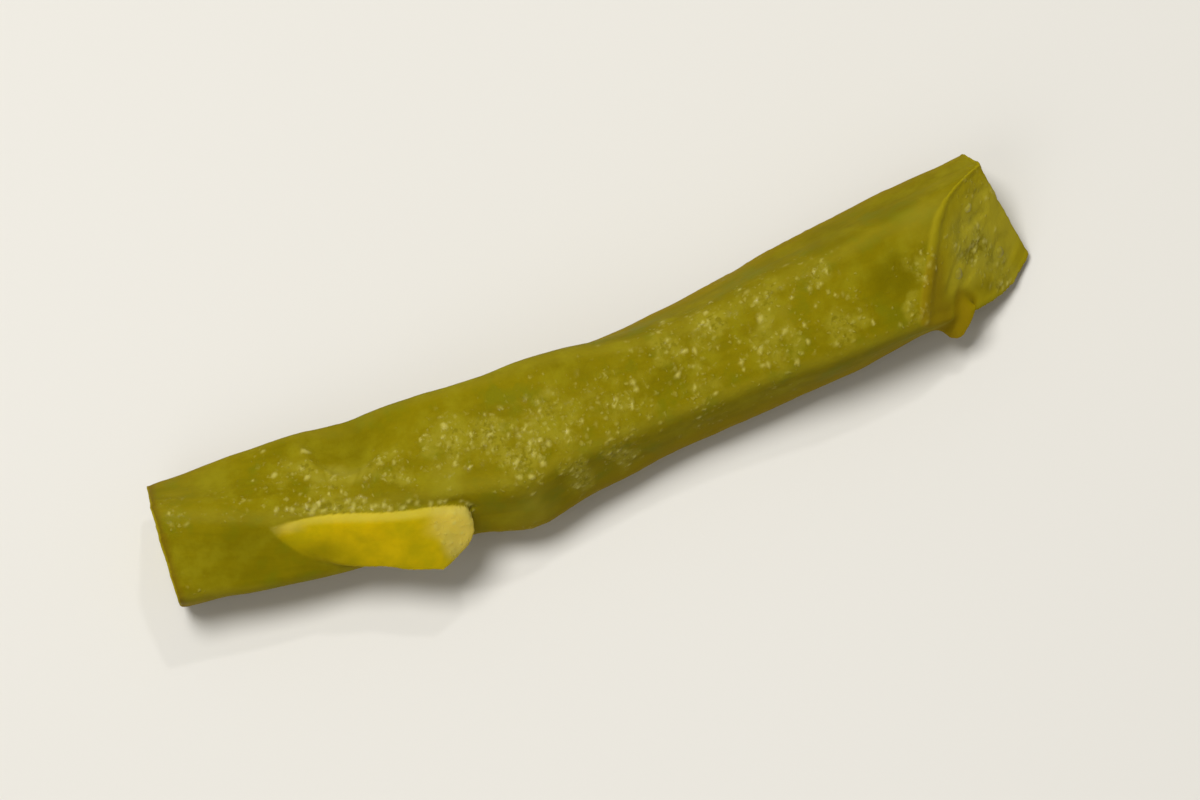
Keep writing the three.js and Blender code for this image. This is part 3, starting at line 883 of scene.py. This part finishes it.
def okraSkin():
    # Okra skin cooked soft: thin and slightly see-through, so light sinks in about a millimetre. Its sheen is
    # dull, and small sharp glints sit on the beads of pulp where the skin is stippled.
    material = newMaterial("cookedOkraSkin")
    marks = {name: addNode(material, "Attribute", attribute_name=name).outputs["Fac"] for name in skinMarks}
    grown = addNode(material, "Attribute", attribute_name="grown").outputs["Vector"]
    along = addNode(material, "Mapping", {"Vector": grown, "Scale": skinLook["alongScale"]}).outputs[0]
    place = addNode(material, "TexCoord").outputs["Object"]
    millimetres = addNode(material, "Mapping", {"Vector": place, "Scale": (1 / mm,) * 3}).outputs[0]

    # each pattern's coordinates, size and detail
    patterns = {
        "fibre": (along, 1.0, 4), "mottle": (millimetres, skinLook["mottleSize"], 4),
        "blotch": (millimetres, skinLook["blotchSize"], 3),
        "grain": (millimetres, skinLook["grainSize"], 2), "fine": (millimetres, skinLook["fineSize"], 3),
    }
    noises = {}
    for name, (vector, size, detail) in patterns.items():
        noises[name] = addNode(material, "TexNoise", {"Vector": vector, "Scale": 1 / size, "Detail": detail,
                                                      "Roughness": 0.62})
    fine = noises["fine"].outputs[0]
    push = {0: noises["grain"].outputs["Color"], 1: (skinLook["shaken"],) * 3, 2: millimetres}
    shaken = addNode(material, "VectorMath", push, operation="MULTIPLY_ADD").outputs[0]

    specks = 0.0
    for apart, reach, share in skinLook["specks"]:
        cells = addNode(material, "TexVoronoi", {"Vector": shaken, "Scale": 1 / apart})
        own = addNode(material, "SeparateColor", {"Color": cells.outputs["Color"]})
        spread = {0: cells.outputs["Distance"], fromLow: 0.05, fromHigh: reach, toLow: 1, toHigh: 0}
        dome = addNode(material, "MapRange", spread, interpolation_type="SMOOTHSTEP").outputs[0]
        chosen = addNode(material, "Math", {0: marks["grain"], 1: share, 2: own.outputs[0]},
                         operation="MULTIPLY_ADD").outputs[0]
        present = addNode(material, "MapRange", {0: chosen, fromLow: 1.0, fromHigh: 1.15}).outputs[0]
        bright = addNode(material, "MapRange", {0: own.outputs[1], toLow: 0.3, toHigh: 1.0}).outputs[0]
        speck = addNode(material, "Math", {0: dome, 1: present}, operation="MULTIPLY").outputs[0]
        speck = addNode(material, "Math", {0: speck, 1: bright}, operation="MULTIPLY").outputs[0]
        specks = addNode(material, "Math", {0: speck, 1: specks}, operation="MAXIMUM").outputs[0]
    blotchy, grainy = [addNode(material, "Math", {0: noises[name].outputs[0], 1: marks["grain"]},
                               operation="MULTIPLY").outputs[0] for name in ("blotch", "grain")]

    mottle = noises["mottle"].outputs[0]
    stripGlow = addNode(material, "MapRange", {0: mottle, fromLow: 0.4, fromHigh: 0.62}).outputs[0]
    stripTones = {0: stripGlow, under: shade(skinLook["stripGreen"]), over: shade(skinLook["strip"])}
    stripTone = addNode(material, "Mix", stripTones, data_type="RGBA").outputs[2]
    # each colour in turn covers what is under it: what it follows, where that starts and is full, how much
    layers = [
        (noises["fibre"].outputs[0], 0.3, 0.65, 1.0, shade(skinLook["olive"])),
        (mottle, 0.45, 0.7, 0.8, shade(skinLook["lightOlive"])),
        (mottle, 0.5, 0.32, 0.7, shade(skinLook["green"])),
        (marks["ridge"], 0, 1, 0.3, shade(skinLook["ridge"])),
        # painted shade on the lower sides, by height
        (marks["side"], 0, 1, 0.8, shade(skinLook["side"])),
        (marks["onCut"], 0, 1, 1.0, shade(skinLook["flesh"])),
        (marks["skinDepth"], 0.2, 0.5, 0.7, shade(skinLook["pulp"])),
        # the chambers: wet pulp, with painted shade in the deep ones of the square cut
        (marks["wetAndShadedHollow"], 0, 1, 0.8, shade(skinLook["hollow"])),
        (marks["rim"], 0, 1, 0.4, shade(skinLook["rim"])),
        # pale patches: partly paler skin, partly painted sheen and highlight
        (marks["pale"], 0, 1, 0.75, shade(skinLook["pale"])),
        # patches of painted shade
        (marks["dark"], 0, 1, 0.85, shade(skinLook["shadow"])),
        (blotchy, 0.25, 0.5, 0.85, shade(skinLook["granular"])),
        (grainy, 0.42, 0.6, 0.6, shade(skinLook["deep"])),
        (marks["sliver"], 0, 1, 0.8, shade(skinLook["sliver"])),
        # painted shade along the square cut
        (marks["squareCutShade"], 0, 1, 0.55, shade(skinLook["squareCutShade"])),
        (marks["onStrip"], 0, 1, 1.0, stripTone),
        (marks["stripEdge"], 0, 1, 0.7, shade(skinLook["stripEdge"])),
        (marks["stripEnd"], 0, 1, 0.5, shade(skinLook["stripEnd"])),
        (specks, 0, 1, 0.35, shade(skinLook["fleck"])),
        (marks["bead"], 0.1, 0.9, 0.7, shade(skinLook["fleck"])),
    ]
    colour = shade(skinLook["darkOlive"])
    for value, start, full, most, tone in layers:
        share = addNode(material, "MapRange", {0: value, fromLow: start, fromHigh: full, toHigh: most},
                        interpolation_type="SMOOTHSTEP").outputs[0]
        colour = addNode(material, "Mix", {0: share, under: colour, over: tone}, data_type="RGBA").outputs[2]

    wetness = addNode(material, "Math", {0: marks["bead"], 1: skinLook["beadCoat"]},
                      operation="MULTIPLY").outputs[0]
    height = addNode(material, "Math", {0: fine, 1: 0.4, 2: specks}, operation="MULTIPLY_ADD").outputs[0]
    bump = addNode(material, "Bump", {"Strength": 0.8, "Distance": skinLook["bump"] * mm,
                                      "Height": height}).outputs[0]
    rough = addNode(material, "MapRange", {0: mottle, fromLow: 0.3, fromHigh: 0.75,
                                           toLow: skinLook["roughness"] - 0.06,
                                           toHigh: skinLook["roughness"] + 0.1}).outputs[0]
    surface = addNode(material, "BsdfPrincipled", {
        "Base Color": colour, "Roughness": rough, "IOR": 1.38, "Specular IOR Level": skinLook["specular"],
        "Subsurface Weight": 0.3, "Subsurface Radius": (1.0, 0.8, 0.25), "Subsurface Scale": 1.0 * mm,
        "Coat Weight": wetness, "Coat Roughness": 0.12, "Coat IOR": 1.33, "Normal": bump, "Coat Normal": bump,
    })
    addNode(material, "OutputMaterial", {"Surface": surface.outputs[0]})
    return material


seedLook = {"pale": "#AEA23A", "shadow": "#92861F", "mottleSize": 1.1, "fineSize": 0.25, "roughness": 0.35,
            "specular": 0.12, "coat": 0.12, "bump": 0.06}


def okraSeed():
    # Young okra seed, cooked: a soft cream coat under clear slime, so it looks pale, waxy and wet.
    material = newMaterial("cookedOkraSeed")
    place = addNode(material, "TexCoord").outputs["Object"]
    millimetres = addNode(material, "Mapping", {"Vector": place, "Scale": (1 / mm,) * 3}).outputs[0]
    mottle, fine = [addNode(material, "TexNoise", {"Vector": millimetres, "Scale": 1 / seedLook[size],
                                                   "Detail": detail}).outputs[0]
                    for size, detail in (("mottleSize", 3), ("fineSize", 2))]
    share = addNode(material, "MapRange", {0: mottle, fromLow: 0.35, fromHigh: 0.7}).outputs[0]
    tones = {0: share, under: shade(seedLook["shadow"]), over: shade(seedLook["pale"])}
    colour = addNode(material, "Mix", tones, data_type="RGBA").outputs[2]
    bump = addNode(material, "Bump", {"Strength": 0.5, "Distance": seedLook["bump"] * mm,
                                      "Height": fine}).outputs[0]
    surface = addNode(material, "BsdfPrincipled", {
        "Base Color": colour, "Roughness": seedLook["roughness"], "IOR": 1.4,
        "Specular IOR Level": seedLook["specular"],
        "Subsurface Weight": 0.5, "Subsurface Radius": (1.0, 0.8, 0.4), "Subsurface Scale": 0.8 * mm,
        "Coat Weight": seedLook["coat"], "Coat Roughness": 0.15, "Normal": bump,
    })
    addNode(material, "OutputMaterial", {"Surface": surface.outputs[0]})
    return material


skinMaterial, seedMaterial = okraSkin(), okraSeed()
body.data.materials.clear()
body.data.materials.append(skinMaterial)
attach(body, "root")
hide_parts("pod")
for seed in seeds:
    seed.data.materials.clear()
    seed.data.materials.append(seedMaterial)
    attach(seed, "root")
print("materials set")


# Floor, camera and lights

studio = {
    "floorSize": 6.0, "floorTones": ("#D8D5CD", "#DEDBD4"), "floorMottle": 6.0,
    "azimuth": -20.3, "elevation": 80.0, "distance": 0.52, "lens": 180, "aim": (0.0, 0.0, 0.005),
    "sky": "#F4F1E8", "skyStrength": 0.24,
    # each light's azimuth, elevation, distance, size and power
    "lights": {"key": (215, 74, 0.8, 0.3, 5.2), "fill": (300, 45, 1.0, 0.8, 1.5),
               "spark": (150, 60, 0.7, 0.04, 0.5)},
}


def paleFloor():
    # Matt painted board, pale and plain, so the pod's own colours and soft shadow show.
    material = newMaterial("paleBoard")
    place = addNode(material, "TexCoord").outputs["Object"]
    mottle = addNode(material, "TexNoise", {"Vector": place, "Scale": studio["floorMottle"],
                                            "Detail": 2}).outputs[0]
    dark, light = (shade(tone) for tone in studio["floorTones"])
    colour = addNode(material, "Mix", {0: mottle, under: dark, over: light}, data_type="RGBA").outputs[2]
    surface = addNode(material, "BsdfPrincipled", {"Base Color": colour, "Roughness": 0.7, "IOR": 1.45})
    addNode(material, "OutputMaterial", {"Surface": surface.outputs[0]})
    return material


def towards(azimuth, elevation):
    # the way from the pod to something at that azimuth and elevation; azimuth 0 is in front, at -Y
    a, e = math.radians(azimuth), math.radians(elevation)
    return Vector((math.sin(a) * math.cos(e), -math.cos(a) * math.cos(e), math.sin(e)))


def aimAt(thing, target):
    thing.rotation_mode = "QUATERNION"
    thing.rotation_quaternion = (Vector(target) - thing.location).to_track_quat("-Z", "Y")


def areaLight(name, azimuth, elevation, distance, size, power):
    bpy.ops.object.light_add(type="AREA", location=towards(azimuth, elevation) * distance)
    light = bpy.context.active_object
    light.name = name
    light.data.shape = "DISK"
    light.data.size = size
    light.data.energy = power
    aimAt(light, (0, 0, 0))


bpy.ops.mesh.primitive_plane_add(size=studio["floorSize"], location=(0, 0, 0))
floor = bpy.context.active_object
floor.name = "floor"
floor.data.materials.append(paleFloor())

for name, values in studio["lights"].items():
    areaLight(name, *values)

world = bpy.data.worlds.new("studio")
bpy.context.scene.world = world
world.use_nodes = True
background = world.node_tree.nodes["Background"]
background.inputs["Color"].default_value = shade(studio["sky"])
background.inputs["Strength"].default_value = studio["skyStrength"]
bpy.context.scene.view_settings.view_transform = "Standard"

cameraWay = towards(studio["azimuth"], studio["elevation"])
bpy.ops.object.camera_add(location=Vector(studio["aim"]) + cameraWay * studio["distance"])
camera = bpy.context.active_object
camera.data.lens = studio["lens"]
camera.data.clip_start = 0.01
aimAt(camera, studio["aim"])
bpy.context.scene.camera = camera
print("studio ready")
